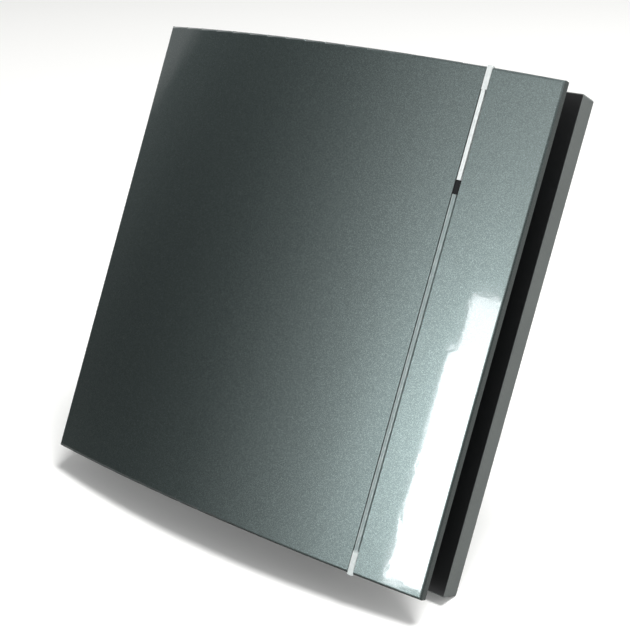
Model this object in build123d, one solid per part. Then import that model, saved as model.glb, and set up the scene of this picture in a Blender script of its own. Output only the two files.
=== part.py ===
from build123d import *
import math
import os

# Bathroom extractor fan: a square wall base with a round duct spigot behind it, and a bowed cover in front.
#
# Frame: the wall is the plane Y = 0, the spigot points to +Y, the cover faces -Y and +Z is up.
# The origin is on the spigot's axis in the wall plane. Everything is in millimetres.
# Air comes in through the slot all round between cover and base, passes the bellmouth, the impeller
# and the motor cup, and leaves through the backdraught shutter at the spigot's end.

# ---------------------------------------------------------------- driving dimensions
plate_size = 180.0  # outline of the cover and of the base, both square
base_depth = 8.5  # how far the base stands off the wall
inlet_gap = 13.5  # air slot between base and cover, at the side edges
cover_thickness = 3.3
cover_bow = 9.0  # rise of the cover's arc at its middle
cover_edge_radius = 1.0
corner_radius = 0.8
base_wall = 2.2
base_edge_radius = 0.6

spigot_od = 98.0  # slides into nominal 100 mm duct
spigot_wall = 2.0
spigot_length = 86.0
spigot_lead_in = 1.0  # chamfer on the spigot's outer end
flange_thickness = 2.5
fit_gap = 0.4  # loose fit between mouldings
neck_step = 0.6  # height and width of the tapered shoulder that rests in the flange
seat_gap = 0.05  # spigot's neck in its seat

wall_screw_from_edge = 20.0  # square pattern of fixing holes, one near each corner
wall_screw_hole_radius = 2.25
pillar_radius = 6.5
pillar_bore_radius = 4.8

lead_channel = 3.2  # space for the motor leads between spigot and bellmouth
bellmouth_wall = 1.3
bellmouth_curve = 9.0  # inner radius of the flared mouth
bellmouth_lip = 3.0
bellmouth_end = 27.0
guard_thickness = 1.8
guard_bar = 1.6
guard_ring_count = 4
guard_spoke_count = 6
guard_hub_radius = 12.0

groove_from_edge = 26.5  # centre of the trim groove from the cover's right edge
groove_width = 2.3
groove_depth = 1.8
strip_bar_width = 1.6
strip_clearance = 0.1
strip_end_length = 8.0
strip_hook = 0.45  # how far the strip's ends stand over the cover's edges
window_height = 5.0
window_from_top = 42.5  # centre of the pilot window from the cover's top edge
window_thickness = 1.0

leg_from_edge = 14.0
leg_from_end = 30.0
leg_size = (2.4, 7.0)  # section, across X and along Z
leg_clearance = 0.3
rib_height = 3.0

impeller_tip_gap = 1.0
impeller_front = 2.5
impeller_length = 23.5
hub_radius = 17.0
hub_wall = 2.0
blade_count = 6
blade_thickness = 1.5
hub_boss_radius = 4.5

shaft_radius = 2.0
shaft_front = 6.5
shaft_end = 68.0
bearing_outer_radius = 6.5
bearing_width = 5.0
race_thickness = 1.3
ball_radius = 0.9
ball_count = 8
front_bearing_y = 35.5
rear_bearing_y = 59.5

stack_front = 43.0
stack_thickness = 14.0
stack_half_width = 18.0
stack_top = 15.0
stack_bottom = -22.0
rotor_radius = 9.25
air_gap = 0.35
coil_bar = 5.0  # height of the stator bar that carries the coil
coil_window = (12.0, 5.5)  # half width and height of the opening above that bar
bobbin_wall = 0.8
bobbin_half_length = 11.0
winding_thickness = 4.0
motor_bolt_radius = 1.5
motor_bolt_at = (14.5, 8.5)
bracket_thickness = 2.0
spacer_radius = 2.9
ear_at = (21.5, 8.0)
ear_radius = 4.0
silent_block_radius = 3.6
silent_block_screw_radius = 1.2

can_radius = 30.0  # inside of the motor cup
can_wall = 1.8
can_front = 31.0
can_end = 72.0
vane_count = 4
vane_thickness = 1.6
vane_front = 40.0
vane_end = 68.0
vane_ring_wall = 1.6
vane_ring_gap = 0.2

lead_radius = 0.9
lead_spacing = 2.3
lamp_lead_radius = 0.6
lamp_lead_spacing = 1.8
lead_hole_radius = 3.2

box_size = (48.0, 26.0)  # terminal compartment, across X and Z
box_corner = (17.0, 15.0)  # its outer corner from the base's right and bottom edges
box_below_cover = 1.5  # how far the compartment stays behind the cover's side edges
box_wall = 1.6
box_lid_thickness = 1.6
grommet_bore_radius = 3.2
grommet_neck_radius = 5.0
grommet_rim_radius = 6.8
grommet_rim = 1.2

lamp_post_radius = 4.0
led_radius = 1.5

casing_screw_radius = 1.4
casing_screw_head = (3.0, 1.4)  # radius and height
casing_screw_inset = 9.5  # from the base's edge
boss_radius = 4.0

shutter_from_end = 10.0  # front of the shutter ring from the spigot's end
shutter_ring_wall = 4.0
shutter_ring_depth = 6.0
shutter_gap = 0.1
flap_thickness = 1.4
flap_overlap = 1.2  # how far the flap covers the ring's inner edge
hinge_drop = 13.0  # hinge line below the spigot's inner top
hinge_pin_radius = 1.0
hinge_clearance = 0.05
hinge_knuckle_radius = 2.0
hinge_seat = 0.8  # how far the pin's ends sit in the ring
hinge_ear_width = 3.0

# ---------------------------------------------------------------- places worked out from them
half = plate_size / 2
base_front = -base_depth
skin_back = base_front + base_wall
flange_front = -flange_thickness
wall_screw_at = half - wall_screw_from_edge
cover_back = base_front - inlet_gap
cover_front = cover_back - cover_thickness
bow_radius = (half**2 + cover_bow**2) / (2 * cover_bow)
groove_x = half - groove_from_edge
window_z = half - window_from_top
leg_x = half - leg_from_edge
leg_z = half - leg_from_end
spigot_radius = spigot_od / 2
spigot_bore = spigot_radius - spigot_wall
neck_radius = spigot_radius - neck_step
shroud_outer = spigot_bore - lead_channel
shroud_inner = shroud_outer - bellmouth_wall
mouth_centre = shroud_inner + bellmouth_curve  # radius at which the mouth's curve is centred
mouth_level = base_front - bellmouth_wall + bellmouth_curve
lip_front = base_front - bellmouth_wall
guard_outer = mouth_centre + bellmouth_lip
impeller_radius = shroud_inner - impeller_tip_gap
stack_back = stack_front + stack_thickness
stator_bore = rotor_radius + air_gap
coil_top = stack_bottom + coil_bar
can_outer = can_radius + can_wall
can_floor = can_end - can_wall
ring_outer = spigot_bore - vane_ring_gap
ring_inner = ring_outer - vane_ring_wall
rear_bracket_back = rear_bearing_y + bearing_width
box_x1 = half - box_corner[0]
box_x0 = box_x1 - box_size[0]
box_z0 = -half + box_corner[1]
box_z1 = box_z0 + box_size[1]
box_top = cover_back + box_below_cover
box_mid_z = (box_z0 + box_z1) / 2
entry_x = box_x0 + 10.0
clamp_x = entry_x + 10.0
block_x0 = clamp_x + 6.5
block_x1 = block_x0 + 12.0
block_z0 = box_z0 + 2.4
terminal_y = base_front - 4.0
terminal_front = cover_back + 5.0
lead_hole = (block_x0 + 6.0, box_z1 - 5.6)
lead_y = flange_front - lead_radius - 0.2  # motor leads run along the flange
lamp_lead_y = skin_back + lamp_lead_radius + 0.2  # lamp leads run along the base's skin, clear of them
hinge_z = spigot_bore - hinge_drop
shutter_front = spigot_length - shutter_from_end
shutter_back = shutter_front + shutter_ring_depth
shutter_inner = spigot_bore - shutter_gap - shutter_ring_wall
flap_radius = shutter_inner + flap_overlap
hinge_half_length = math.sqrt(shutter_inner**2 - hinge_z**2) + hinge_seat
casing_screw_r = half - casing_screw_inset


# ---------------------------------------------------------------- helpers
def rod(radius, y0, y1, x=0.0, z=0.0):
    """A round bar along Y."""
    return Pos(x, (y0 + y1) / 2, z) * Rot(90, 0, 0) * Cylinder(radius, y1 - y0)


def tube(outer, inner, y0, y1, x=0.0, z=0.0):
    return rod(outer, y0, y1, x, z) - rod(inner, y0 - 1, y1 + 1, x, z)


def block(x0, x1, y0, y1, z0, z1):
    return Pos((x0 + x1) / 2, (y0 + y1) / 2, (z0 + z1) / 2) * Box(x1 - x0, y1 - y0, z1 - z0)


def spun(*edges):
    """A solid turned about the Y axis from a closed outline of edges in (radius, Y)."""
    return revolve(make_face(edges), Axis.Y, 360)


def joined(shapes):
    """One solid from several that touch or overlap."""
    first, *rest = list(shapes)
    return first.fuse(*rest).clean() if rest else first


def corners(x, z):
    return [(i * x, j * z) for i in (-1, 1) for j in (-1, 1)]


def bow_at(x):
    """How far the cover's arc stands in front of its side edges."""
    return math.sqrt(bow_radius**2 - x**2) - (bow_radius - cover_bow)


def square_plate(size, y0, y1):
    """A square plate with rounded corners, front and back faces flat."""
    return extrude(Plane.XZ * Pos(0, 0, -y0) * RectangleRounded(size, size, corner_radius), y0 - y1)


def wire_run(points, radius, bend):
    """A round lead along straight runs joined by arcs of radius bend."""
    path = FilletPolyline(*points, radius=bend)
    section = Plane(path @ 0, z_dir=path % 0) * Circle(radius)
    return sweep(section, path)


# ---------------------------------------------------------------- cover
def panel_blank():
    """The bowed plate before its groove is cut: two equal arcs, one thickness apart."""
    outer = ThreePointArc((-half, cover_front), (0, cover_front - cover_bow), (half, cover_front))
    inner = ThreePointArc((half, cover_back), (0, cover_back - cover_bow), (-half, cover_back))
    sides = [Line(outer @ 1, inner @ 0), Line(inner @ 1, outer @ 0)]
    plate = Pos(0, 0, -half) * extrude(make_face([outer, inner, *sides]), plate_size)
    front_edges = [e for e in plate.edges() if is_front_edge(e)]
    return fillet(front_edges, cover_edge_radius)


def is_front_edge(edge):
    """True for the outline of the cover's front face."""
    points = [edge @ t for t in (0.0, 0.5, 1.0)]
    return all(abs(p.Y - cover_front + bow_at(min(half, abs(p.X)))) < 0.01 for p in points)


def front_panel():
    panel = panel_blank()
    groove_front = cover_front - bow_at(groove_x)
    groove_floor = groove_front + groove_depth
    x0, x1 = groove_x - groove_width / 2, groove_x + groove_width / 2
    panel -= block(x0, x1, groove_front - 2, groove_floor, -half - 1, half + 1)
    panel -= block(x0 + 0.3, x1 - 0.3, groove_front, cover_back, window_z - 2.2, window_z + 2.2)
    for side in (-1, 1):
        x = side * leg_x
        back = cover_back - bow_at(leg_x)
        rib = block(x - leg_size[0] / 2, x + leg_size[0] / 2, back - 1, back + rib_height, -leg_z, leg_z)
        panel += rib
        for z in (-leg_z, leg_z):
            panel += cover_leg(x, z, back)
    return panel


def cover_leg(x, z, back):
    """A flat leg with a tapered tip, which plugs into a socket in the base."""
    w, h = leg_size
    tip = flange_front - 0.7
    leg = block(x - w / 2, x + w / 2, back - 1, tip, z - h / 2, z + h / 2)
    tip_edges = leg.edges().filter_by(Axis.Z).sort_by(Axis.Y)[-2:]
    return chamfer(tip_edges, 0.7)


def trim_strip():
    """The clear strip in the cover's groove, with full-width ends that hook over the cover's edges."""
    front = cover_front - bow_at(groove_x)
    floor = front + groove_depth - strip_clearance
    x0 = groove_x - groove_width / 2 + strip_clearance
    x1 = groove_x + groove_width / 2 - strip_clearance
    top = half + strip_hook
    bar = block(x0, x0 + strip_bar_width, front + 0.05, floor, -top, top)
    edge = bar.edges().filter_by(Axis.Z).sort_by(Axis.Y)[:2]
    pieces = [fillet(edge, 0.35)]
    for side in (-1, 1):
        z0, z1 = sorted((side * (half - strip_end_length), side * top))
        pieces.append(block(x0, x1, front, floor, z0, z1))
    web = front + window_thickness + 0.1
    reach = window_height / 2 + 1.0
    pieces.append(block(x0, x1, web, floor, window_z - reach, window_z + reach))
    notch = window_height / 2 + strip_clearance / 2
    cut = block(x0 - 1, x1 + 1, front - 1, web, window_z - notch, window_z + notch)
    return joined(pieces) - cut


def pilot_window():
    """The smoked window over the pilot lamp, let into the trim strip."""
    front = cover_front - bow_at(groove_x)
    x0 = groove_x - groove_width / 2 + strip_clearance
    x1 = groove_x + groove_width / 2 - strip_clearance
    h = window_height / 2
    return block(x0, x1, front + 0.1, front + 0.1 + window_thickness, window_z - h, window_z + h)


# ---------------------------------------------------------------- base
def base_frame():
    frame = square_plate(plate_size, base_front, 0)
    rim = frame.faces().sort_by(Axis.Y)[0].edges()
    frame = fillet(rim, base_edge_radius)
    inside = half - base_wall
    frame -= block(-inside, inside, skin_back, 1, -inside, inside)
    frame -= rod(mouth_centre + 0.4, base_front - 1, 1)
    adds, cuts = [], []
    for x, z in corners(wall_screw_at, wall_screw_at):
        adds.append(rod(pillar_radius, skin_back - 0.5, flange_front, x, z))
        cuts.append(rod(pillar_bore_radius, base_front - 1, 1, x, z))
    for x, z in casing_screw_places():
        adds.append(rod(boss_radius, skin_back - 0.5, flange_front, x, z))
        cuts.append(rod(casing_screw_radius + 0.05, skin_back + 0.3, 1, x, z))
    w, h = (s / 2 + leg_clearance for s in leg_size)
    for x, z in corners(leg_x, leg_z):
        side_x, side_z = w + 1.2, h + 1.2
        y0, y1 = skin_back - 0.5, flange_front - 1.2
        adds.append(block(x - side_x, x + side_x, y0, y1, z - side_z, z + side_z))
        cuts.append(block(x - w, x + w, base_front - 1, 0, z - h, z + h))
    adds += clamp_bosses()
    cuts.append(rod(grommet_rim_radius + 0.4, base_front - 1, 1, entry_x, box_mid_z))
    cuts.append(rod(lead_hole_radius, base_front - 1, 1, *lead_hole))
    cuts.append(rod(1.8, base_front - 1, 1, groove_x, window_z))
    frame = joined([frame, *adds])
    for cut in cuts:
        frame -= cut
    return frame


def casing_screw_places():
    return [(casing_screw_r, 0), (-casing_screw_r, 0), (0, casing_screw_r), (0, -casing_screw_r)]


def terminal_box():
    """The walls of the terminal compartment on the base's front, with bosses for its screws."""
    w = box_wall
    box = block(box_x0, box_x1, box_top, base_front, box_z0, box_z1)
    box -= block(box_x0 + w, box_x1 - w, box_top - 1, base_front + 1, box_z0 + w, box_z1 - w)
    return joined([box, tube(2.6, 1.05, box_top, base_front, *lid_screw_place())])


def clamp_bosses():
    return [tube(2.4, 1.05, base_front - 3.0, base_front + 0.5, x, z) for x, z in clamp_screw_places()]


def lid_screw_place():
    return box_x0 + box_wall + 2.4, box_z0 + box_wall + 2.4


def clamp_screw_places():
    return [(clamp_x, box_mid_z - 7.0), (clamp_x, box_mid_z + 7.0)]


def wall_flange():
    """The plate that closes the base towards the wall, with a round seat for the spigot."""
    flange = square_plate(plate_size - 2 * (base_wall + fit_gap), flange_front, 0)
    flange -= rod(neck_radius + seat_gap, flange_front - 1, 1)
    flange -= shoulder(seat_gap)
    for x, z in corners(wall_screw_at, wall_screw_at):
        flange -= rod(wall_screw_hole_radius, flange_front - 1, 1, x, z)
    head_radius, head_height = casing_screw_head
    for x, z in casing_screw_places():
        flange -= rod(casing_screw_radius + 0.2, flange_front - 1, 1, x, z)
        flange -= rod(head_radius + 0.3, -head_height - 0.1, 1, x, z)
    flange -= rod(grommet_neck_radius, flange_front - 1, 1, entry_x, box_mid_z)
    flange -= rod(grommet_rim_radius + 0.2, -grommet_rim, 1, entry_x, box_mid_z)
    return flange - lead_slot()


def shoulder(gap):
    """The taper from the spigot down to its neck, or its seat when gap is the clearance round it."""
    wide, narrow = spigot_radius + gap, neck_radius + gap
    return spun(
        Line((0, 0), (wide, 0)),
        Line((wide, 0), (narrow, -neck_step)),
        Line((narrow, -neck_step), (0, -neck_step)),
        Line((0, -neck_step), (0, 0)),
    )


def duct_spigot():
    """The round tube that goes into the duct. Its front end is a narrower neck on a tapered shoulder,
    seated in the flange, with a notch where the motor leads come out."""
    spigot = tube(spigot_radius, spigot_bore, 0, spigot_length)
    rear_rim = spigot.edges().filter_by(GeomType.CIRCLE).group_by(Axis.Y)[-1].sort_by(SortBy.RADIUS)[-1]
    spigot = chamfer(rear_rim, spigot_lead_in)
    neck = tube(neck_radius, spigot_bore, flange_front, 0)
    taper = shoulder(0) - rod(spigot_bore, -neck_step - 1, 1)
    return joined([spigot, taper, neck]) - lead_slot()


def lead_slot():
    return Rot(0, 45, 0) * block(spigot_bore - 1, spigot_bore + 6, flange_front - 1, 0, -3.2, 3.2)


def casing_screws():
    head_radius, head_height = casing_screw_head
    screws = []
    for x, z in casing_screw_places():
        shank = rod(casing_screw_radius, skin_back + 0.6, -head_height, x, z)
        screws.append(joined([shank, screw_head(head_radius, -head_height, -0.05, x, z)]))
    return Compound(children=screws)


def screw_head(radius, y0, y1, x, z):
    """A pan head with a cross recess in its back face, at y1."""
    head = rod(radius, y0, y1, x, z)
    reach, slot, depth = radius * 0.55, radius * 0.16, (y1 - y0) * 0.5
    for a, b in ((reach, slot), (slot, reach)):
        head -= block(x - a, x + a, y1 - depth, y1 + 1, z - b, z + b)
    return head


def front_screw(radius, head_radius, head_height, y_head, y_tip, x, z):
    """A screw driven from the front: its head is at y_head and its tip reaches back to y_tip."""
    head = rod(head_radius, y_head - head_height, y_head, x, z)
    reach, slot = head_radius * 0.55, head_radius * 0.16
    for a, b in ((reach, slot), (slot, reach)):
        top = y_head - head_height
        head -= block(x - a, x + a, top - 1, top + head_height * 0.5, z - b, z + b)
    return joined([rod(radius, y_head, y_tip, x, z), head])


# ---------------------------------------------------------------- air path
def inlet_bellmouth():
    """A flared ring that leads the air into a short shroud around the impeller."""
    c, level, r = mouth_centre, mouth_level, bellmouth_curve
    inner_top, outer_top = (c, level - r), (c, level - r + bellmouth_wall)
    diag = math.sqrt(0.5)
    inner_mid = (c - r * diag, level - r * diag)
    outer_r = r - bellmouth_wall
    outer_mid = (c - outer_r * diag, level - outer_r * diag)
    inner_low, outer_low = (shroud_inner, level), (shroud_outer, level)
    lip_in, lip_out = (guard_outer, level - r), (guard_outer, level - r + bellmouth_wall)
    return spun(
        Line(lip_in, inner_top),
        ThreePointArc(inner_top, inner_mid, inner_low),
        Line(inner_low, (shroud_inner, bellmouth_end)),
        Line((shroud_inner, bellmouth_end), (shroud_outer, bellmouth_end)),
        Line((shroud_outer, bellmouth_end), outer_low),
        ThreePointArc(outer_low, outer_mid, outer_top),
        Line(outer_top, lip_out),
        Line(lip_out, lip_in),
    )


def inlet_guard():
    """Rings and spokes across the mouth that keep fingers off the impeller."""
    y0, y1 = lip_front - guard_thickness, lip_front
    pieces = [rod(guard_hub_radius, y0, y1), tube(guard_outer, guard_outer - bellmouth_lip + 0.5, y0, y1)]
    step = (guard_outer - bellmouth_lip - guard_hub_radius) / (guard_ring_count + 1)
    for i in range(1, guard_ring_count + 1):
        r = guard_hub_radius + i * step
        pieces.append(tube(r + guard_bar / 2, r - guard_bar / 2, y0, y1))
    spoke = block(guard_hub_radius - 2, guard_outer - 1, y0, y1, -guard_bar / 2, guard_bar / 2)
    for i in range(guard_spoke_count):
        pieces.append(Rot(0, 30 + i * 360 / guard_spoke_count, 0) * spoke)
    return joined(pieces)


def blade_section(z, chord, pitch, camber):
    """One thin arched section of a blade, in the plane Z = z, pitch degrees from the plane of rotation."""
    a = math.radians(pitch)
    along, across = (math.cos(a), math.sin(a)), (-math.sin(a), math.cos(a))
    mid_y = impeller_front + impeller_length / 2

    def at(s, t):
        return s * along[0] + t * across[0], s * along[1] + t * across[1] + mid_y

    c, t = chord / 2, blade_thickness / 2
    upper = ThreePointArc(at(-c, t), at(0, camber + t), at(c, t * 0.6))
    lower = ThreePointArc(at(c, -t * 0.6), at(0, camber - t), at(-c, -t))
    ends = [Line(upper @ 1, lower @ 0), Line(lower @ 1, upper @ 0)]
    return Pos(0, 0, z) * make_face([upper, lower, *ends])


def impeller():
    """Hub cup with twisted blades, pressed on the shaft."""
    y0, y1 = impeller_front, impeller_front + impeller_length
    hub = rod(hub_radius, y0, y1)
    hub = fillet(hub.edges().sort_by(Axis.Y)[0], 5.0)
    span = impeller_radius + 3 - (hub_radius - 3)
    sections = []
    for share in (0.0, 0.5, 1.0):
        z = hub_radius - 3 + share * span
        sections.append(blade_section(z, 22 + 10 * share, 52 - 22 * share, 2.4 - 0.6 * share))
    blade = loft(sections) & rod(impeller_radius, y0 - 20, y1 + 20)
    blades = [Rot(0, i * 360 / blade_count, 0) * blade for i in range(blade_count)]
    wheel = joined([hub, *blades])
    wheel &= rod(impeller_radius + 5, y0, y1)
    cup = rod(hub_radius - hub_wall, y0 + hub_wall * 2, y1 + 1)
    wheel -= cup - rod(hub_boss_radius, y0, y1 - 4)
    return wheel - rod(shaft_radius, y0 + hub_wall, y1 + 1)


def impeller_clip():
    """The push-on washer that keeps the impeller on the shaft."""
    y = impeller_front + impeller_length - 4
    return tube(3.8, shaft_radius + 0.02, y + 0.05, y + 0.65)


# ---------------------------------------------------------------- motor
def motor_cup():
    """The cup round the motor, open to the front, with the motor hung from its floor."""
    cup = tube(can_outer, can_radius, can_front, can_end) + rod(can_outer, can_floor, can_end)
    notch = block(can_radius - 1, can_outer + 1, can_front - 1, can_front + 7, -3.2, 3.2)
    cup -= Rot(0, 45, 0) * notch
    for x, z in corners(*ear_at):
        cup -= rod(silent_block_screw_radius + 0.3, can_floor - 1, can_end + 1, x, z)
    for x, z in corners(8.0, 17.0):
        cup -= rod(2.2, can_floor - 1, can_end + 1, x, z)
    return cup


def guide_vanes():
    """A ring in the spigot with straight vanes, which carry the motor cup and straighten the air."""
    ring = tube(ring_outer, ring_inner, vane_front, vane_end)
    side = vane_thickness / 2
    vane = block(can_outer - 0.5, ring_inner + 0.5, vane_front, vane_end, -side, side)
    vanes = [Rot(0, 45 + i * 360 / vane_count, 0) * vane for i in range(vane_count)]
    return joined([ring, *vanes]) - rod(can_outer, 0, 100)


def stator_core():
    """The laminated C-frame: a plate with the rotor bore and the coil opening."""
    core = block(-stack_half_width, stack_half_width, stack_front, stack_back, stack_bottom, stack_top)
    core = chamfer(core.edges().filter_by(Axis.Y), 2.0)
    core -= rod(stator_bore, stack_front - 1, stack_back + 1)
    half_width, height = coil_window
    core -= block(-half_width, half_width, stack_front - 1, stack_back + 1, coil_top, coil_top + height)
    for x, z in corners(*motor_bolt_at):
        core -= rod(motor_bolt_radius + 0.1, stack_front - 1, stack_back + 1, x, z)
    return core


def coil_layer(wall0, wall1, x):
    """A rectangular sleeve round the coil bar, between two distances from the bar."""
    def sleeve(wall, reach):
        y0, y1 = stack_front - wall, stack_back + wall
        return block(-reach, reach, y0, y1, stack_bottom - wall, coil_top + wall)

    return sleeve(wall1, x) - sleeve(wall0, x + 1)


def coil_bobbin():
    start = 0.05
    body = coil_layer(start, bobbin_wall, bobbin_half_length)
    cheek = coil_layer(start, bobbin_wall + winding_thickness, bobbin_half_length)
    cheek -= block(-bobbin_half_length + 1, bobbin_half_length - 1, 0, 100, -100, 100)
    return joined([body, *cheek.solids()])


def coil_winding():
    turns = coil_layer(bobbin_wall + 0.02, bobbin_wall + winding_thickness - 0.3, bobbin_half_length - 1.02)
    middle = (0, (stack_front + stack_back) / 2, (stack_bottom + coil_top) / 2)
    return fillet(turns.edges().filter_by(Axis.X).sort_by_distance(middle)[-4:], 0.8)


def bearing_bracket(y_bearing, y_stack, ears):
    """A cast plate with a bearing seat and spacers down to the stator stack."""
    facing_back = y_stack < y_bearing
    y0 = y_bearing + bearing_width - bracket_thickness if facing_back else y_bearing
    y1 = y0 + bracket_thickness
    z = motor_bolt_at[1] + spacer_radius
    x = motor_bolt_at[0] + spacer_radius
    plate = block(-x, x, y0, y1, -z + 0.6, z)
    pieces = [plate, rod(bearing_outer_radius + 1.8, y_bearing, y_bearing + bearing_width)]
    for bx, bz in corners(*motor_bolt_at):
        pieces.append(rod(spacer_radius, *sorted((y_stack, y0)), bx, bz))
    if ears:
        ex, ez = ear_at
        pieces += [rod(ear_radius, y0, y1, px, pz) for px, pz in corners(ex, ez)]
        pieces.append(block(-ex, ex, y0, y1, -ez - 1, ez + 1))
    bracket = joined(pieces) - rod(bearing_outer_radius, y_bearing - 1, y_bearing + bearing_width + 1)
    for bx, bz in corners(*motor_bolt_at):
        bracket -= rod(motor_bolt_radius + 0.1, 0, 100, bx, bz)
    if ears:
        for px, pz in corners(*ear_at):
            bracket -= rod(silent_block_screw_radius + 0.1, 0, 100, px, pz)
    return bracket


def motor_bolts():
    """Long screws through both brackets and the stack, with their nuts."""
    bolts = []
    for x, z in corners(*motor_bolt_at):
        shank = rod(motor_bolt_radius, front_bearing_y, rear_bracket_back + 2.6, x, z)
        head = rod(2.6, front_bearing_y - 1.8, front_bearing_y, x, z)
        hexagon = Plane.XZ * Pos(x, z, -rear_bracket_back) * RegularPolygon(2.8, 6)
        bolts.append(joined([shank, head, extrude(hexagon, -2.2)]))
    return Compound(children=bolts)


def silent_blocks():
    """Rubber mounts between the motor's rear bracket and the cup's floor."""
    bore = silent_block_screw_radius + 0.05
    mount = tube(silent_block_radius, bore, rear_bracket_back, can_floor)
    return Compound(children=[Pos(x, 0, z) * mount for x, z in corners(*ear_at)])


def silent_block_screws():
    screws = []
    for x, z in corners(*ear_at):
        shank = rod(silent_block_screw_radius, rear_bracket_back - bracket_thickness - 0.6, can_end, x, z)
        screws.append(joined([shank, screw_head(2.3, can_end, can_end + 1.4, x, z)]))
    return Compound(children=screws)


def bearing_ring(y, inner, outer):
    ring = tube(outer, inner, y, y + bearing_width)
    return chamfer(ring.edges().filter_by(GeomType.CIRCLE), 0.2)


def ball_circle():
    return (shaft_radius + bearing_outer_radius) / 2


def bearing_balls():
    balls = []
    for y in (front_bearing_y, rear_bearing_y):
        for i in range(ball_count):
            a = 2 * math.pi * i / ball_count
            r = ball_circle()
            balls.append(Pos(r * math.cos(a), y + bearing_width / 2, r * math.sin(a)) * Sphere(ball_radius))
    return Compound(children=balls)


def bearing_cages():
    """Flat crown cages that keep the balls apart, one in each bearing."""
    cages = []
    for y in (front_bearing_y, rear_bearing_y):
        mid = y + bearing_width / 2
        ring = tube(ball_circle() + 0.6, ball_circle() - 0.6, mid + 0.3, mid + 1.6)
        for i in range(ball_count):
            a = 2 * math.pi * i / ball_count
            place = Pos(ball_circle() * math.cos(a), mid, ball_circle() * math.sin(a))
            ring -= place * Sphere(ball_radius + 0.06)
        cages.append(ring)
    return Compound(children=cages)


def rotor_core():
    core = rod(rotor_radius, stack_front + 0.5, stack_back - 0.5)
    return core - rod(shaft_radius, 0, 100)


def rotor_end_rings():
    """Cast aluminium rings of the squirrel cage, one on each face of the core."""
    rings = [tube(rotor_radius - 0.6, 4.5, stack_front - 1.5, stack_front + 0.5),
             tube(rotor_radius - 0.6, 4.5, stack_back - 0.5, stack_back + 1.5)]
    return Compound(children=rings)


def motor_shaft():
    shaft = rod(shaft_radius, shaft_front, shaft_end)
    return chamfer(shaft.edges().filter_by(GeomType.CIRCLE), 0.4)


# ---------------------------------------------------------------- wiring
def turned(point, degrees):
    """A point (radius, Y, offset across) swung about the Y axis from +X towards -Z."""
    r, y, off = point
    a = math.radians(degrees)
    return (r * math.cos(a) + off * math.sin(a), y, -r * math.sin(a) + off * math.cos(a))


def motor_leads():
    """Two insulated leads from the coil, past the motor cup and along the spigot's wall to the terminals."""
    channel = (shroud_outer + spigot_bore) / 2
    leads = []
    for side, pole in zip((-1, 1), reversed(pole_places())):
        off = side * lead_spacing / 2
        x, z = lead_hole[0] + 1.3 + side * 0.6, lead_hole[1] + side
        turn_x = block_x1 + 3.0 + side * 1.1
        route = [
            (bobbin_half_length + 1.2, stack_front - 3.5, coil_top - 1.0 + off),
            turned((can_radius - 5.0, stack_front - 5.5, off), 45),
            turned((channel, can_front + 3.4, off), 45),
            turned((channel, lead_y, off), 45),
            turned((spigot_bore + 3.4, lead_y, off), 45),
            (x, lead_y, z),
            (x, terminal_y, z),
            (turn_x, terminal_y, z),
            (turn_x, terminal_y, pole),
            (block_x1 - 2.5, terminal_y, pole),
        ]
        leads.append(wire_run(route, lead_radius, 1.9))
    return Compound(children=leads)


def lamp_leads():
    """Two thin leads from the pilot lamp, behind the base's skin, to the terminals."""
    leads = []
    for side, pole in zip((1, -1), reversed(pole_places())):
        off = side * lamp_lead_spacing / 2
        x, z = lead_hole[0] - 1.7 + side * 0.7, lead_hole[1] - side * 0.7
        turn_x = block_x0 - 1.8 + side * 0.8
        route = [
            (groove_x + off, base_front - 4.0, window_z),
            (groove_x + off, lamp_lead_y, window_z),
            (groove_x + off, lamp_lead_y, box_z1 + 12.0 - side * 0.5),
            (x, lamp_lead_y, box_z1 + 4.0 - side * 0.5),
            (x, lamp_lead_y, z),
            (x, terminal_y, z),
            (turn_x, terminal_y, z),
            (turn_x, terminal_y, pole),
            (block_x0 + 2.5, terminal_y, pole),
        ]
        leads.append(wire_run(route, lamp_lead_radius, 1.5))
    return Compound(children=leads)


# ---------------------------------------------------------------- terminals and lamp
def terminal_block():
    """A two-pole block on the compartment's floor, with wire entries from both sides."""
    body = block(block_x0, block_x1, terminal_front, base_front, block_z0, block_z0 + 12.4)
    body = fillet(body.edges().filter_by(Axis.Y), 0.8)
    for z in pole_places():
        body -= Pos(lead_hole[0], terminal_y, z) * Rot(0, 90, 0) * Cylinder(2.1, 20)
        for x in pole_screw_xs():
            body -= rod(1.9, terminal_front - 1, terminal_y, x, z)
    return body


def pole_places():
    return [block_z0 + 3.0, block_z0 + 9.4]


def pole_screw_xs():
    return [block_x0 + 3.2, block_x1 - 3.2]


def terminal_sleeves():
    """Brass sleeves that clamp the wires, one in each pole."""
    sleeves = []
    for z in pole_places():
        axis = Pos(lead_hole[0], terminal_y, z) * Rot(0, 90, 0)
        sleeve = axis * Cylinder(2.05, 11.0) - axis * Cylinder(1.4, 12.0)
        for x in pole_screw_xs():
            sleeve -= rod(1.25, terminal_front - 1, terminal_y, x, z)
        sleeves.append(sleeve)
    return Compound(children=sleeves)


def terminal_screws():
    """Slotted screws, one over each end of each sleeve."""
    top, tip = terminal_front + 0.9, terminal_y - 1.0
    slot_floor = top + (tip - top) * 0.2
    screws = []
    for z in pole_places():
        for x in pole_screw_xs():
            slot = block(x - 1.3, x + 1.3, top - 1, slot_floor, z - 0.25, z + 0.25)
            screws.append(rod(1.2, top, tip, x, z) - slot)
    return Compound(children=screws)


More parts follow.
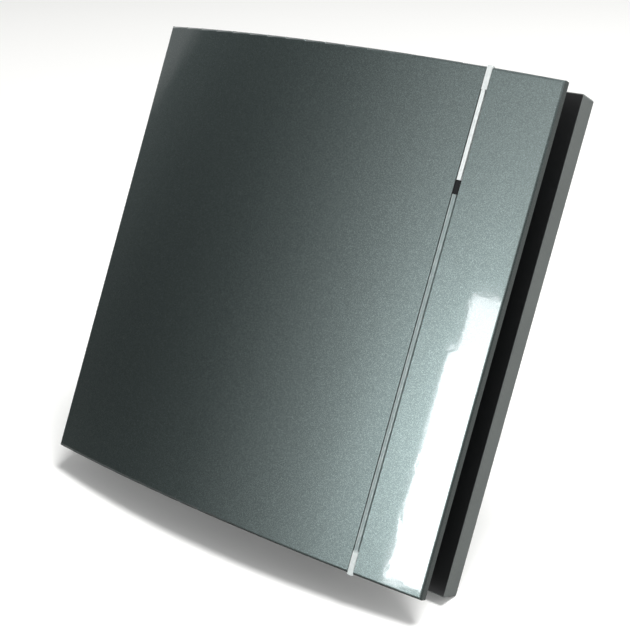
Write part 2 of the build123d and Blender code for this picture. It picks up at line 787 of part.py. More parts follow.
def terminal_cover():
    """The lid of the terminal compartment, with a lip that drops inside its walls."""
    lid = block(box_x0, box_x1, box_top - box_lid_thickness, box_top, box_z0, box_z1)
    lid = fillet(lid.edges().filter_by(Axis.Y), 1.0)
    lid = fillet(lid.faces().sort_by(Axis.Y)[0].edges(), 0.5)
    m = box_wall + 0.3
    lip = block(box_x0 + m, box_x1 - m, box_top - 0.5, box_top + 1.5, box_z0 + m, box_z1 - m)
    lip -= block(box_x0 + m + 1, box_x1 - m - 1, box_top, box_top + 2, box_z0 + m + 1, box_z1 - m - 1)
    x, z = lid_screw_place()
    lip -= rod(3.0, box_top, box_top + 2, x, z)
    lid = joined([lid, lip])
    return lid - rod(1.4, box_top - 5, box_top + 5, x, z)


def terminal_cover_screw():
    x, z = lid_screw_place()
    y = box_top - box_lid_thickness
    return front_screw(1.0, 2.1, 1.3, y, base_front, x, z)


def cable_clamp():
    """The bar that holds the supply cable down, arched over it."""
    y1 = base_front - 3.0
    z0, z1 = box_mid_z - 9.5, box_mid_z + 9.5
    bar = block(clamp_x - 2.5, clamp_x + 2.5, y1 - 2.0, y1, z0, z1)
    arch = Pos(clamp_x, y1, box_mid_z) * Rot(0, 90, 0)
    bar = joined([bar, arch * Cylinder(4.6, 5.0)])
    bar -= arch * Cylinder(3.0, 6.0)
    bar -= block(clamp_x - 3, clamp_x + 3, y1, y1 + 10, z0, z1)
    for x, z in clamp_screw_places():
        bar -= rod(1.3, y1 - 5, y1 + 5, x, z)
    return bar


def cable_clamp_screws():
    y_head = base_front - 5.0
    screws = [front_screw(1.0, 2.0, 1.3, y_head, base_front, x, z) for x, z in clamp_screw_places()]
    return Compound(children=screws)


def cable_grommet():
    """A rubber grommet in the flange where the supply cable comes out of the wall."""
    neck, rim = grommet_neck_radius - 0.05, grommet_rim_radius
    pieces = [rod(neck, flange_front, -0.1, entry_x, box_mid_z),
              rod(rim, -grommet_rim + 0.05, -0.1, entry_x, box_mid_z),
              rod(rim, flange_front - 1.2, flange_front, entry_x, box_mid_z)]
    return joined(pieces) - rod(grommet_bore_radius, -10, 1, entry_x, box_mid_z)


def pilot_lamp_holder():
    """A hollow post on the base that brings the lamp up to the window in the cover."""
    post = tube(lamp_post_radius, 2.2, cover_back, base_front, groove_x, window_z)
    foot = tube(lamp_post_radius + 2.5, 2.2, base_front - 1.5, base_front, groove_x, window_z)
    return joined([post, foot])


def pilot_led():
    """The lamp: a collared dome in the top of its post."""
    top = cover_back
    body = rod(2.15, top + 1.0, top + 6.0, groove_x, window_z)
    dome = rod(led_radius, top - 1.2, top + 1.5, groove_x, window_z)
    tip = Pos(groove_x, top - 1.2, window_z) * Sphere(led_radius)
    return joined([body, dome, tip])


# ---------------------------------------------------------------- backdraught shutter
def shutter_frame():
    """A ring in the spigot's end that the flap closes against, with a bridge and ears for the hinge."""
    outer = spigot_bore - shutter_gap
    ring = tube(outer, shutter_inner, shutter_front, shutter_back)
    bridge = rod(outer - 0.5, shutter_front, shutter_front + 1.6)
    bridge &= block(-outer, outer, 0, 200, hinge_z + hinge_knuckle_radius + 0.4, outer)
    reach = hinge_half_length
    ears = []
    for side in (-1, 1):
        x0, x1 = sorted((side * reach, side * (reach - hinge_ear_width)))
        top = math.sqrt(shutter_inner**2 - reach**2) + 0.5
        ear = block(x0, x1, shutter_front, shutter_back + 1.0, hinge_z - 2.0, top)
        ears.append(ear)
    frame = joined([ring, bridge, *ears])
    return frame - hinge_rod(hinge_pin_radius, reach + 1)


def hinge_rod(radius, half_length, x=0.0):
    return Pos(x, shutter_back - 0.8, hinge_z) * Rot(0, 90, 0) * Cylinder(radius, 2 * half_length)


def shutter_pin():
    return hinge_rod(hinge_pin_radius - 0.01, hinge_half_length)


def shutter_flap():
    """The disc that closes the spigot, cut straight below its hinge, with two knuckles on the pin."""
    y0 = shutter_back + 0.2
    disc = rod(flap_radius, y0, y0 + flap_thickness)
    disc &= block(-200, 200, 0, 200, -200, hinge_z - 0.2)
    inside = hinge_half_length - hinge_ear_width - 0.4
    disc -= block(-200, -inside, 0, 200, hinge_z - 3.2, 200)
    disc -= block(inside, 200, 0, 200, hinge_z - 3.2, 200)
    pieces = [disc]
    for x in (-inside * 0.6, inside * 0.6):
        pieces.append(hinge_rod(hinge_knuckle_radius, 5.0, x))
        pieces.append(block(x - 5, x + 5, shutter_back - 0.8, y0 + flap_thickness, hinge_z - 2.0, hinge_z))
    for x in (-12.0, 0.0, 12.0):
        pieces.append(block(x - 0.6, x + 0.6, y0 + flap_thickness - 0.2, y0 + flap_thickness + 1.2,
                            -flap_radius * 0.8, hinge_z - 4.5))
    flap = joined(pieces)
    return flap - hinge_rod(hinge_pin_radius + hinge_clearance, hinge_half_length + 1)


# ---------------------------------------------------------------- nodes
nodes = {
    "front_panel": front_panel,
    "trim_strip": trim_strip,
    "pilot_window": pilot_window,
    "base_frame": base_frame,
    "terminal_box": terminal_box,
    "wall_flange": wall_flange,
    "duct_spigot": duct_spigot,
    "casing_screws": casing_screws,
    "inlet_bellmouth": inlet_bellmouth,
    "inlet_guard": inlet_guard,
    "impeller": impeller,
    "impeller_clip": impeller_clip,
    "motor_cup": motor_cup,
    "guide_vanes": guide_vanes,
    "stator_core": stator_core,
    "coil_bobbin": coil_bobbin,
    "coil_winding": coil_winding,
    "front_bearing_bracket": lambda: bearing_bracket(front_bearing_y, stack_front, False),
    "rear_bearing_bracket": lambda: bearing_bracket(rear_bearing_y, stack_back, True),
    "motor_bolts": motor_bolts,
    "silent_blocks": silent_blocks,
    "silent_block_screws": silent_block_screws,
    "bearing_balls": bearing_balls,
    "bearing_cages": bearing_cages,
    "rotor_core": rotor_core,
    "rotor_end_rings": rotor_end_rings,
    "motor_shaft": motor_shaft,
    "motor_leads": motor_leads,
    "lamp_leads": lamp_leads,
    "terminal_block": terminal_block,
    "terminal_sleeves": terminal_sleeves,
    "terminal_screws": terminal_screws,
    "terminal_cover": terminal_cover,
    "terminal_cover_screw": terminal_cover_screw,
    "cable_clamp": cable_clamp,
    "cable_clamp_screws": cable_clamp_screws,
    "cable_grommet": cable_grommet,
    "pilot_lamp_holder": pilot_lamp_holder,
    "pilot_led": pilot_led,
    "shutter_frame": shutter_frame,
    "shutter_pin": shutter_pin,
    "shutter_flap": shutter_flap,
}
race_split = {"inner": (shaft_radius, shaft_radius + race_thickness),
              "outer": (bearing_outer_radius - race_thickness, bearing_outer_radius)}
for end, y in (("front", front_bearing_y), ("rear", rear_bearing_y)):
    for race, (r0, r1) in race_split.items():
        nodes[f"{end}_bearing_{race}_race"] = lambda y=y, r0=r0, r1=r1: bearing_ring(y, r0, r1)

if __name__ == "__main__":
    os.makedirs("parts", exist_ok=True)
    for name, make in nodes.items():
        shape = make()
        export_step(shape, f"parts/{name}.step")
        print(name, len(shape.solids()), round(sum(s.volume for s in shape.solids()), 1))
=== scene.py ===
import bpy
import math
import numpy as np
from mathutils import Matrix, Vector


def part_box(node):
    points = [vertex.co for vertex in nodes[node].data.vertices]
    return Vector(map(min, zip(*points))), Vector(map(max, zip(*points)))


# A square bathroom extractor fan: bowed lacquered cover, satin grey base, round duct spigot.
# X runs right, Y into the wall, Z up; the fan leans back on a white table.

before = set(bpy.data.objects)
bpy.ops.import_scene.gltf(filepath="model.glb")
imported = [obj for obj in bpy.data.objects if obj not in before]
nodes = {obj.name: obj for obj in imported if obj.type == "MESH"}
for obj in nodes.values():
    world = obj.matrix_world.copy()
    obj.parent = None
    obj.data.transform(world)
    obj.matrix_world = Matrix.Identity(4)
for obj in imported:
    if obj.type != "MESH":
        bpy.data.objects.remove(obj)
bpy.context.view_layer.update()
print("frame loaded,", len(nodes), "nodes")


# ------------------------------------------------ node and colour helpers

def linearColour(code):  # each sRGB byte c becomes ((c + 0.055) / 1.055) ** 2.4, or c / 12.92 near black
    parts = [int(code[i:i + 2], 16) / 255 for i in (1, 3, 5)]
    return [c / 12.92 if c <= 0.04045 else ((c + 0.055) / 1.055) ** 2.4 for c in parts] + [1.0]


def addNode(tree, kind, settings=None, inputs=None):  # one node, its settings, and its values or links
    node = tree.nodes.new(kind)
    for key, value in (settings or {}).items():
        setattr(node, key, value)
    for key, value in (inputs or {}).items():
        if isinstance(value, bpy.types.NodeSocket):
            tree.links.new(value, node.inputs[key])
        else:
            node.inputs[key].default_value = value
    return node


def startMaterial(name, fixed):  # a Principled surface with its fixed socket values, and Object coordinates
    material = bpy.data.materials.new(name)
    material.use_nodes = True
    tree = material.node_tree
    tree.nodes.clear()
    shader = addNode(tree, "ShaderNodeBsdfPrincipled", inputs=fixed)
    addNode(tree, "ShaderNodeOutputMaterial", inputs={"Surface": shader.outputs[0]})
    place = addNode(tree, "ShaderNodeTexCoord").outputs["Object"]
    return material, tree, shader, place


def perMetre(millimetres):  # texture scale for features this many millimetres apart
    return 1000.0 / millimetres


def noiseOf(tree, place, size, detail=3.0, rough=0.55):  # smooth noise with features of a given size
    return addNode(tree, "ShaderNodeTexNoise", inputs={"Vector": place, "Scale": perMetre(size),
                                                       "Detail": detail, "Roughness": rough}).outputs["Fac"]


def ramp(tree, value, low, high, toLow, toHigh):  # straight-line change of value between two limits
    return addNode(tree, "ShaderNodeMapRange", inputs={"Value": value, "From Min": low, "From Max": high,
                                                       "To Min": toLow, "To Max": toHigh}).outputs[0]


def blendColour(tree, amount, first, second):  # two colours mixed by amount
    node = addNode(tree, "ShaderNodeMix", {"data_type": "RGBA"})
    for socket, value in zip((node.inputs[0], node.inputs[6], node.inputs[7]), (amount, first, second)):
        if isinstance(value, bpy.types.NodeSocket):
            tree.links.new(value, socket)
        else:
            socket.default_value = value
    return node.outputs[2]


def bumpOf(tree, height, depth, strength=1.0):  # surface relief of a given depth in millimetres
    return addNode(tree, "ShaderNodeBump", inputs={"Height": height, "Distance": depth / 1000.0,
                                                   "Strength": strength}).outputs[0]


def facingOf(tree, axis):  # how far the surface faces along one axis, from -1 to 1
    normal = addNode(tree, "ShaderNodeNewGeometry").outputs["True Normal"]
    return addNode(tree, "ShaderNodeSeparateXYZ", inputs={0: normal}).outputs[axis]


# ------------------------------------------------ finishes

# The last colour is a near-black painted shade for the cover's backward faces in the dark gap above the base.
lacquerLook = {"deep": "#505b5a", "flake": "#6f7c7b", "flakeSize": 0.16, "flakeTilt": 0.05,
               "metallic": 0.96, "roughness": 0.34, "coatRoughness": 0.055, "peel": 0.02,
               "peelSize": 5.0, "rarity": 3.0, "gapShade": "#0b0d0e"}


def makeLacquer(look):
    # Metallic car lacquer: aluminium flakes in a grey-green base under a clear gloss coat.
    # Each Voronoi cell is a flake, drawn coarser than the real 0.05 mm so that it shows; its random
    # colour tilts the base's normal and, raised to a power, mixes the deep tone with the flake's. The coat
    # above has only a faint orange peel. Faces that look backwards, into the gap behind the cover, take a
    # near-black painted shade.
    material, tree, shader, place = startMaterial("metallicLacquer", {
        "Metallic": look["metallic"], "Roughness": look["roughness"], "Coat Weight": 1.0,
        "Coat Roughness": look["coatRoughness"], "Coat IOR": 1.5})
    cell = addNode(tree, "ShaderNodeTexVoronoi",
                   inputs={"Vector": place, "Scale": perMetre(look["flakeSize"])})
    tilt = look["flakeTilt"]
    normal = addNode(tree, "ShaderNodeNewGeometry").outputs["Normal"]
    spread = addNode(tree, "ShaderNodeVectorMath", {"operation": "MULTIPLY_ADD"},
                     {0: cell.outputs["Color"], 1: (tilt, tilt, tilt), 2: (-tilt / 2, -tilt / 2, -tilt / 2)})
    turned = addNode(tree, "ShaderNodeVectorMath", {"operation": "ADD"}, {0: normal, 1: spread.outputs[0]})
    unit = addNode(tree, "ShaderNodeVectorMath", {"operation": "NORMALIZE"}, {0: turned.outputs[0]})
    tree.links.new(unit.outputs[0], shader.inputs["Normal"])
    peel = noiseOf(tree, place, look["peelSize"], 2.0)
    tree.links.new(bumpOf(tree, peel, look["peel"]), shader.inputs["Coat Normal"])
    grey = addNode(tree, "ShaderNodeSeparateColor", inputs={0: cell.outputs["Color"]}).outputs[0]
    share = addNode(tree, "ShaderNodeMath", {"operation": "POWER"}, {0: grey, 1: look["rarity"]}).outputs[0]
    colour = blendColour(tree, share, linearColour(look["deep"]), linearColour(look["flake"]))
    # painted shade: backward faces, in the gap between cover and base, are darkened to near black
    back = ramp(tree, facingOf(tree, "Y"), 0.3, 0.6, 0.0, 1.0)
    tree.links.new(blendColour(tree, back, colour, linearColour(look["gapShade"])), shader.inputs["Base Color"])
    return material


mouldingLooks = {
    # baseAbs's front tone is a near-black painted shade for the base's face in the dark gap behind the cover.
    "baseAbs": {"dark": "#5d6261", "light": "#686d6b", "grain": 0.55, "relief": 0.02, "roughness": 0.42,
                "front": "#0d0f10"},
    "spigotAbs": {"dark": "#4b504f", "light": "#585e5c", "grain": 0.7, "relief": 0.025, "roughness": 0.48},
    "blackAbs": {"dark": "#15181a", "light": "#1e2223", "grain": 0.6, "relief": 0.03, "roughness": 0.52},
    "impellerAbs": {"dark": "#cfd1cc", "light": "#dcdeda", "grain": 0.9, "relief": 0.01, "roughness": 0.34},
    "nylonNatural": {"dark": "#c4bfae", "light": "#d6d1c0", "grain": 0.8, "relief": 0.02, "roughness": 0.46},
    "terminalPolyamide": {"dark": "#c9c6ba", "light": "#d8d5c9", "grain": 0.6, "relief": 0.015,
                          "roughness": 0.4},
    "siliconeLead": {"dark": "#5d6061", "light": "#717475", "grain": 1.2, "relief": 0.02, "roughness": 0.5},
}


def makeMoulding(name, look):
    # Injection-moulded plastic from a spark-eroded tool: fine rounded pits in the surface, and a slow
    # drift of tone of a few per cent from the flow of the melt. Roughness follows the pits. Where a look
    # names a front tone, faces that point forwards take it as a painted shade for the dark gap behind the
    # cover.
    material, tree, shader, place = startMaterial(name, {"IOR": 1.53})
    pits = noiseOf(tree, place, look["grain"], 4.0, 0.6)
    drift = noiseOf(tree, place, 38.0, 2.0)
    colour = blendColour(tree, drift, linearColour(look["dark"]), linearColour(look["light"]))
    if "front" in look:  # painted shade: the face behind the cover, in the dark gap, is darkened to near black
        gapShade = ramp(tree, facingOf(tree, "Y"), -0.9, -0.97, 0.0, 1.0)
        colour = blendColour(tree, gapShade, colour, linearColour(look["front"]))
    tree.links.new(colour, shader.inputs["Base Color"])
    tree.links.new(ramp(tree, pits, 0.3, 0.7, look["roughness"] - 0.05, look["roughness"] + 0.08),
                   shader.inputs["Roughness"])
    tree.links.new(bumpOf(tree, pits, look["relief"]), shader.inputs["Normal"])
    return material


metalLooks = {
    "zincPlate": {"dark": "#a9acab", "light": "#c6c8c4", "patch": 1.8, "roughness": 0.3, "relief": 0.01},
    "bearingSteel": {"dark": "#9fa2a4", "light": "#b9bbbc", "patch": 3.0, "roughness": 0.14, "relief": 0.004},
    "castAluminium": {"dark": "#8f9294", "light": "#a9acad", "patch": 0.9, "roughness": 0.5, "relief": 0.05},
    "turnedBrass": {"dark": "#b08d4a", "light": "#c9a766", "patch": 2.0, "roughness": 0.26, "relief": 0.008},
}


def makeMetal(name, look):
    # Bare or plated metal: full metallic, with small patches of slightly different tone and roughness
    # left by the bath, the die or the tool, and a very shallow relief.
    material, tree, shader, place = startMaterial(name, {"Metallic": 1.0})
    patch = noiseOf(tree, place, look["patch"], 5.0, 0.65)
    tree.links.new(blendColour(tree, patch, linearColour(look["dark"]), linearColour(look["light"])),
                   shader.inputs["Base Color"])
    tree.links.new(ramp(tree, patch, 0.25, 0.75, look["roughness"] - 0.06, look["roughness"] + 0.08),
                   shader.inputs["Roughness"])
    tree.links.new(bumpOf(tree, patch, look["relief"]), shader.inputs["Normal"])
    return material


sheetLook = {"edge": "#5a5e66", "gap": "#24262a", "sheet": 0.5, "roughness": 0.38}


def makeLaminations(look):
    # Stacked electrical steel: sheets 0.5 mm thick lie across Y, with a dark line of oxide between them.
    material, tree, shader, place = startMaterial("laminatedSteel", {
        "Metallic": 0.9, "Roughness": look["roughness"]})
    along = addNode(tree, "ShaderNodeSeparateXYZ", inputs={0: place}).outputs["Y"]
    turns = addNode(tree, "ShaderNodeMath", {"operation": "MULTIPLY"}, {0: along, 1: perMetre(look["sheet"])})
    step = addNode(tree, "ShaderNodeMath", {"operation": "FRACT"}, {0: turns.outputs[0]}).outputs[0]
    line = ramp(tree, step, 0.72, 0.86, 0.0, 1.0)
    tree.links.new(blendColour(tree, line, linearColour(look["edge"]), linearColour(look["gap"])),
                   shader.inputs["Base Color"])
    tree.links.new(bumpOf(tree, line, -0.05), shader.inputs["Normal"])
    return material


copperLook = {"dark": "#8a3d1e", "light": "#b65c30", "tone": 1.4}


def makeCopper(look):
    # Enamelled copper wire: a red-brown varnish over metal, glossy, with wire-to-wire changes of tone.
    material, tree, shader, place = startMaterial("enamelledCopper", {
        "Metallic": 0.85, "Roughness": 0.28, "Coat Weight": 0.6, "Coat Roughness": 0.12})
    tone = noiseOf(tree, place, look["tone"], 3.0)
    tree.links.new(blendColour(tree, tone, linearColour(look["dark"]), linearColour(look["light"])),
                   shader.inputs["Base Color"])
    return material


rubberLook = {"dark": "#141414", "light": "#26272a", "bloom": 2.5, "relief": 0.03}


def makeRubber(look):
    # Moulded nitrile rubber: black, dull, with a soft bloom that lifts its tone in patches.
    material, tree, shader, place = startMaterial("mouldedRubber", {"IOR": 1.5})
    bloom = noiseOf(tree, place, look["bloom"], 4.0)
    tree.links.new(blendColour(tree, bloom, linearColour(look["dark"]), linearColour(look["light"])),
                   shader.inputs["Base Color"])
    tree.links.new(ramp(tree, bloom, 0.3, 0.7, 0.55, 0.75), shader.inputs["Roughness"])
    tree.links.new(bumpOf(tree, bloom, look["relief"]), shader.inputs["Normal"])
    return material


# The pale strip colour is the real frost of the clipped ends and a painted highlight above the window and
# along the left rim.
stripLook = {"clear": "#a9b8b7", "frostAndHighlight": "#f1f6f5", "edge": 0.0006, "left": 0.0624, "litDown": 0.047,
             "ends": 0.081}


def makeAcrylic(look):
    # Clear cast acrylic: the share of frost is full at both clipped ends, where the cut faces scatter.
    # Above the window it is full as well, a painted highlight for the lamp's reflection, and lower down
    # it lies only along the left rim as a painted highlight line; a slow cloud of scattering varies it.
    # Tone and clearness follow that share.
    material, tree, shader, place = startMaterial("clearAcrylic", {"Roughness": 0.16, "IOR": 1.49})
    axes = addNode(tree, "ShaderNodeSeparateXYZ", inputs={0: place}).outputs
    height = addNode(tree, "ShaderNodeMath", {"operation": "ABSOLUTE"}, {0: axes["Z"]}).outputs[0]
    ends = ramp(tree, height, look["ends"], look["ends"] + 0.002, 0.0, 0.72)
    # painted highlight: above the window the strip is whitened where it reflects the lamp
    top = ramp(tree, axes["Z"], look["litDown"], look["litDown"] + 0.003, 0.0, 0.95)
    # painted highlight: a pale line along the left rim
    rim = ramp(tree, axes["X"], look["left"], look["left"] + look["edge"], 0.75, 0.0)
    cloud = ramp(tree, noiseOf(tree, place, 2.6, 3.0), 0.3, 0.7, -0.16, 0.16)
    share = addNode(tree, "ShaderNodeMath", {"operation": "MAXIMUM"}, {0: ends, 1: top}).outputs[0]
    share = addNode(tree, "ShaderNodeMath", {"operation": "MAXIMUM"}, {0: share, 1: rim}).outputs[0]
    share = addNode(tree, "ShaderNodeMath", {"operation": "ADD", "use_clamp": True},
                    {0: share, 1: cloud}).outputs[0]
    tree.links.new(blendColour(tree, share, linearColour(look["clear"]), linearColour(look["frostAndHighlight"])),
                   shader.inputs["Base Color"])
    tree.links.new(ramp(tree, share, 0.0, 1.0, 0.35, 0.12), shader.inputs["Transmission Weight"])
    return material


windowLook = {"dark": "#0a0c0d", "light": "#191c1e", "cloud": 2.0}


def makeWindow(look):
    # Smoked acrylic window: almost black and glossy, with a faint cloud between two dark tones.
    material, tree, shader, place = startMaterial("smokedAcrylic", {"Roughness": 0.08, "IOR": 1.49})
    cloud = noiseOf(tree, place, look["cloud"])
    tree.links.new(blendColour(tree, cloud, linearColour(look["dark"]), linearColour(look["light"])),
                   shader.inputs["Base Color"])
    return material


lensLook = {"dark": "#9c1512", "light": "#c52a22", "cloud": 1.2}


def makeLens(look):
    # Red diffused epoxy of a small lamp: saturated, slightly translucent and glossy.
    material, tree, shader, place = startMaterial("redEpoxy", {
        "Roughness": 0.2, "IOR": 1.54, "Subsurface Weight": 0.3, "Subsurface Scale": 0.001})
    cloud = noiseOf(tree, place, look["cloud"])
    tree.links.new(blendColour(tree, cloud, linearColour(look["dark"]), linearColour(look["light"])),
                   shader.inputs["Base Color"])
    return material


finishes = {"metallicLacquer": makeLacquer(lacquerLook), "laminatedSteel": makeLaminations(sheetLook),
            "enamelledCopper": makeCopper(copperLook), "mouldedRubber": makeRubber(rubberLook),
            "clearAcrylic": makeAcrylic(stripLook), "smokedAcrylic": makeWindow(windowLook),
            "redEpoxy": makeLens(lensLook)}
finishes.update({name: makeMoulding(name, look) for name, look in mouldingLooks.items()})
finishes.update({name: makeMetal(name, look) for name, look in metalLooks.items()})

finishOf = {
    "front_panel": "metallicLacquer", "trim_strip": "clearAcrylic", "pilot_window": "smokedAcrylic",
    "base_frame": "baseAbs", "terminal_box": "baseAbs", "terminal_cover": "baseAbs",
    "wall_flange": "spigotAbs", "duct_spigot": "spigotAbs",
    "inlet_bellmouth": "blackAbs", "inlet_guard": "blackAbs", "motor_cup": "blackAbs",
    "guide_vanes": "blackAbs", "shutter_frame": "blackAbs", "shutter_flap": "blackAbs",
    "impeller": "impellerAbs",
    "casing_screws": "zincPlate", "impeller_clip": "zincPlate", "motor_bolts": "zincPlate",
    "silent_block_screws": "zincPlate", "terminal_screws": "zincPlate", "terminal_cover_screw": "zincPlate",
    "cable_clamp_screws": "zincPlate", "shutter_pin": "bearingSteel", "motor_shaft": "bearingSteel",
    "bearing_balls": "bearingSteel", "front_bearing_inner_race": "bearingSteel",
    "front_bearing_outer_race": "bearingSteel", "rear_bearing_inner_race": "bearingSteel",
    "rear_bearing_outer_race": "bearingSteel", "bearing_cages": "nylonNatural", "coil_bobbin": "nylonNatural",
    "cable_clamp": "nylonNatural", "pilot_lamp_holder": "nylonNatural", "terminal_block": "terminalPolyamide",
    "terminal_sleeves": "turnedBrass", "stator_core": "laminatedSteel", "rotor_core": "laminatedSteel",
    "rotor_end_rings": "castAluminium", "front_bearing_bracket": "castAluminium",
    "rear_bearing_bracket": "castAluminium", "coil_winding": "enamelledCopper",
    "silent_blocks": "mouldedRubber",
    "cable_grommet": "mouldedRubber", "motor_leads": "siliconeLead", "lamp_leads": "siliconeLead",
    "pilot_led": "redEpoxy",
}
for name, node in nodes.items():
    node.data.materials.clear()
    node.data.materials.append(finishes[finishOf[name]])
print("finishes assigned:", len(finishes))


# ------------------------------------------------ smooth shading of the carried-over nodes

smoothing = {"merge": 0.000002, "sharpAngle": 24.0}


def smoothNode(node, merge, sharpAngle):
    # Loose triangles are welded, split again where faces meet at more than the sharp angle, and
    # each corner's normal is the mean of its faces' normals weighted by their area.
    node.data.polygons.foreach_set("use_smooth", np.ones(len(node.data.polygons), bool))
    weld = node.modifiers.new("weld", "WELD")
    weld.merge_threshold = merge
    split = node.modifiers.new("split", "EDGE_SPLIT")
    split.split_angle = math.radians(sharpAngle)
    split.use_edge_sharp = False
    weighted = node.modifiers.new("weighted", "WEIGHTED_NORMAL")
    weighted.mode = "FACE_AREA"
    weighted.weight = 80


for node in nodes.values():
    smoothNode(node, **smoothing)
print("nodes smoothed")


# ------------------------------------------------ table, lights and camera

tableLook = {"lean": 25.41, "size": 5.0, "diffuse": "#f6f6f4", "mirrored": "#8a8a88", "lift": 0.06}


def makeTable(look):
    # A flat square through the base's lower back edge, turned about X by the angle the fan leans back.
    # It is darker in reflections, a little brighter to the camera, and clear from underneath.
    lean = math.radians(look["lean"])
    edge = Vector((0, 0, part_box("base_frame")[0].z))
    across, away = Vector((1, 0, 0)), Vector((0, math.cos(lean), math.sin(lean)))
    h = look["size"] / 2
    corners = [edge + across * i * h + away * j * h for i, j in ((-1, -1), (1, -1), (1, 1), (-1, 1))]
    mesh = bpy.data.meshes.new("table")
    mesh.from_pydata([tuple(c) for c in corners], [], [(0, 1, 2, 3)])
    table = bpy.data.objects.new("table", mesh)
    bpy.context.scene.collection.objects.link(table)
    material = bpy.data.materials.new("whiteTable")
    material.use_nodes = True
    tree = material.node_tree
    tree.nodes.clear()
    path = addNode(tree, "ShaderNodeLightPath").outputs
    shown = addNode(tree, "ShaderNodeMath", {"operation": "MAXIMUM"},
                    {0: path["Is Camera Ray"], 1: path["Is Transmission Ray"]}).outputs[0]
    lift = addNode(tree, "ShaderNodeMath", {"operation": "MULTIPLY"}, {0: shown, 1: look["lift"]}).outputs[0]
    tone = blendColour(tree, path["Is Glossy Ray"], linearColour(look["diffuse"]),
                       linearColour(look["mirrored"]))
    white = addNode(tree, "ShaderNodeBsdfDiffuse", inputs={"Color": tone})
    glow = addNode(tree, "ShaderNodeEmission", inputs={"Strength": lift})
    both = addNode(tree, "ShaderNodeAddShader", inputs={0: white.outputs[0], 1: glow.outputs[0]})
    clear = addNode(tree, "ShaderNodeBsdfTransparent")
    behind = addNode(tree, "ShaderNodeNewGeometry").outputs["Backfacing"]
    side = addNode(tree, "ShaderNodeMixShader", inputs={0: behind, 1: both.outputs[0], 2: clear.outputs[0]})
    addNode(tree, "ShaderNodeOutputMaterial", inputs={"Surface": side.outputs[0]})
    mesh.materials.append(material)
    return table


makeTable(tableLook)

roomLook = {"wallEdge": (0.2031, -0.6316, -0.7482), "wall": 0.75, "matt": 0.3,
            "aim": (0.16, -0.985, -0.05), "top": 2.4,
            "falloff": ((0, 2.0), (14, 1.9), (22, 1.4), (30, 1.05), (38, 0.55), (45, 0.29), (53, 0.11),
                        (66, 0.05), (80, 0.05), (110, 0.25), (130, 1.3), (180, 1.3))}


def makeRoom(look):
    # White for the camera. Matt surfaces see an even pale room. Gloss sees a room that is brightest
    # straight ahead and darkens with the angle away from there, read from a table of angle and strength,
    # and a pale wall above a straight edge, whose direction is the plane's normal.
    world = bpy.data.worlds.new("room")
    bpy.context.scene.world = world
    world.use_nodes = True
    tree = world.node_tree
    tree.nodes.clear()
    aim = Vector(look["aim"]).normalized()
    direction = addNode(tree, "ShaderNodeTexCoord").outputs["Generated"]
    facing = addNode(tree, "ShaderNodeVectorMath", {"operation": "DOT_PRODUCT"},
                     {0: direction, 1: tuple(aim)}).outputs["Value"]
    angle = addNode(tree, "ShaderNodeMath", {"operation": "ARCCOSINE"}, {0: facing}).outputs[0]
    share = addNode(tree, "ShaderNodeMath", {"operation": "DIVIDE"}, {0: angle, 1: math.pi}).outputs[0]
    table = addNode(tree, "ShaderNodeValToRGB", inputs={0: share})
    table.color_ramp.interpolation = "B_SPLINE"
    stops = table.color_ramp.elements
    for _ in range(len(look["falloff"]) - len(stops)):
        stops.new(0.5)
    for stop, (degrees, strength) in zip(stops, look["falloff"]):
        stop.position = degrees / 180
        stop.color = [strength / look["top"]] * 3 + [1.0]
    front = addNode(tree, "ShaderNodeMath", {"operation": "MULTIPLY"},
                    {0: table.outputs[0], 1: look["top"]}).outputs[0]
    above = addNode(tree, "ShaderNodeVectorMath", {"operation": "DOT_PRODUCT"},
                    {0: direction, 1: look["wallEdge"]}).outputs["Value"]
    side = ramp(tree, above, 0.01, -0.02, 0.0, look["wall"])
    wall = addNode(tree, "ShaderNodeMath", {"operation": "MAXIMUM"}, {0: front, 1: side}).outputs[0]
    path = addNode(tree, "ShaderNodeLightPath").outputs
    strength = addNode(tree, "ShaderNodeMix", {"data_type": "FLOAT"},
                       {0: path["Is Glossy Ray"], 2: look["matt"], 3: wall}).outputs[0]
    plain = addNode(tree, "ShaderNodeMath", {"operation": "MAXIMUM"},
                    {0: path["Is Camera Ray"], 1: path["Is Transmission Ray"]}).outputs[0]
    shown = addNode(tree, "ShaderNodeMix", {"data_type": "FLOAT"},
                    {0: plain, 2: strength, 3: 1.0}).outputs[0]
    background = addNode(tree, "ShaderNodeBackground", inputs={"Color": (1, 1, 1, 1), "Strength": shown})
    addNode(tree, "ShaderNodeOutputWorld", inputs={"Surface": background.outputs[0]})


makeRoom(roomLook)

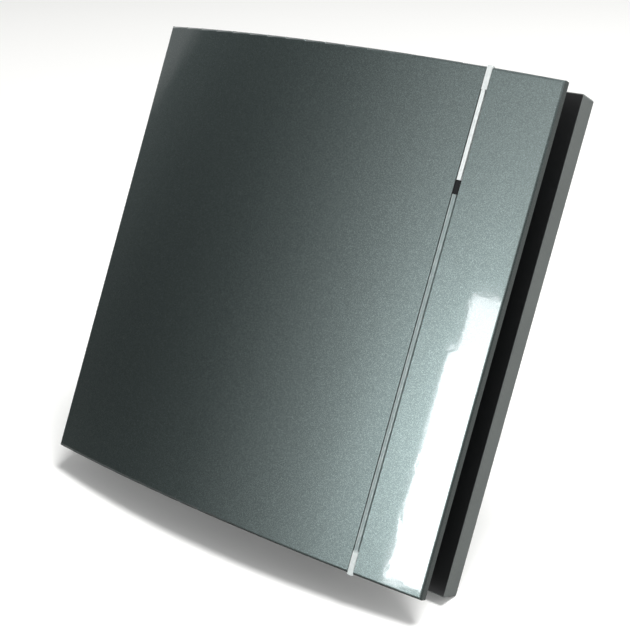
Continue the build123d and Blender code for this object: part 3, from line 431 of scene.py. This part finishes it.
lamps = {  # place, what it faces, size across and up in metres, brightness of its face, colour
    "windowLight": {"place": (-0.024, -1.0, -0.163), "aim": (-0.024, 0, -0.163), "size": (0.112, 0.270),
                    "face": 22.0, "colour": "#fbfdff"},
    "upperPane": {"place": (-0.014, -1.0, 0.004), "aim": (-0.014, 0, 0.004), "size": (0.092, 0.064),
                  "face": 15.0, "colour": "#fbfdff"},
    "sideLight": {"place": (1.25, -0.35, 0.75), "aim": (0, 0, 0), "size": (0.9, 0.9), "face": 1.75,
                  "colour": "#ffffff"},
    "ceilingLight": {"place": (0.75, -1.0, 2.8), "aim": (0, 0, -0.08), "size": (1.0, 1.0), "face": 29.0,
                     "colour": "#ffffff"},
}


def makeLamp(name, look):
    # A rectangular lamp. Its power is brightness times pi times area, so its face is as bright at any size.
    light = bpy.data.lights.new(name, "AREA")
    light.shape = "RECTANGLE"
    light.size, light.size_y = look["size"]
    light.energy = look["face"] * math.pi * look["size"][0] * look["size"][1]
    light.color = linearColour(look["colour"])[:3]
    lamp = bpy.data.objects.new(name, light)
    bpy.context.scene.collection.objects.link(lamp)
    place = Vector(look["place"])
    towards = Vector(look["aim"]) - place
    lamp.matrix_world = Matrix.Translation(place) @ towards.to_track_quat("-Z", "Y").to_matrix().to_4x4()


for name, look in lamps.items():
    makeLamp(name, look)

cameraLook = {"lens": 71.854, "sensor": 36.0, "place": (0.280813, -0.402671, 0.003578),
              "right": (0.787114, 0.557125, 0.264695), "down": (0.231208, 0.131350, -0.963997)}


def makeCamera(look):
    # The camera's axes are its right, its up and its backward directions, as columns.
    right, down = Vector(look["right"]).normalized(), Vector(look["down"]).normalized()
    data = bpy.data.cameras.new("camera")
    data.lens, data.sensor_width, data.sensor_fit = look["lens"], look["sensor"], "HORIZONTAL"
    data.clip_start, data.clip_end = 0.01, 50.0
    camera = bpy.data.objects.new("camera", data)
    bpy.context.scene.collection.objects.link(camera)
    turn = Matrix((right, -down, -right.cross(down))).transposed().to_4x4()
    camera.matrix_world = Matrix.Translation(Vector(look["place"])) @ turn
    bpy.context.scene.camera = camera


makeCamera(cameraLook)
bpy.context.scene.view_settings.view_transform = "Standard"
print("table, lights and camera made")
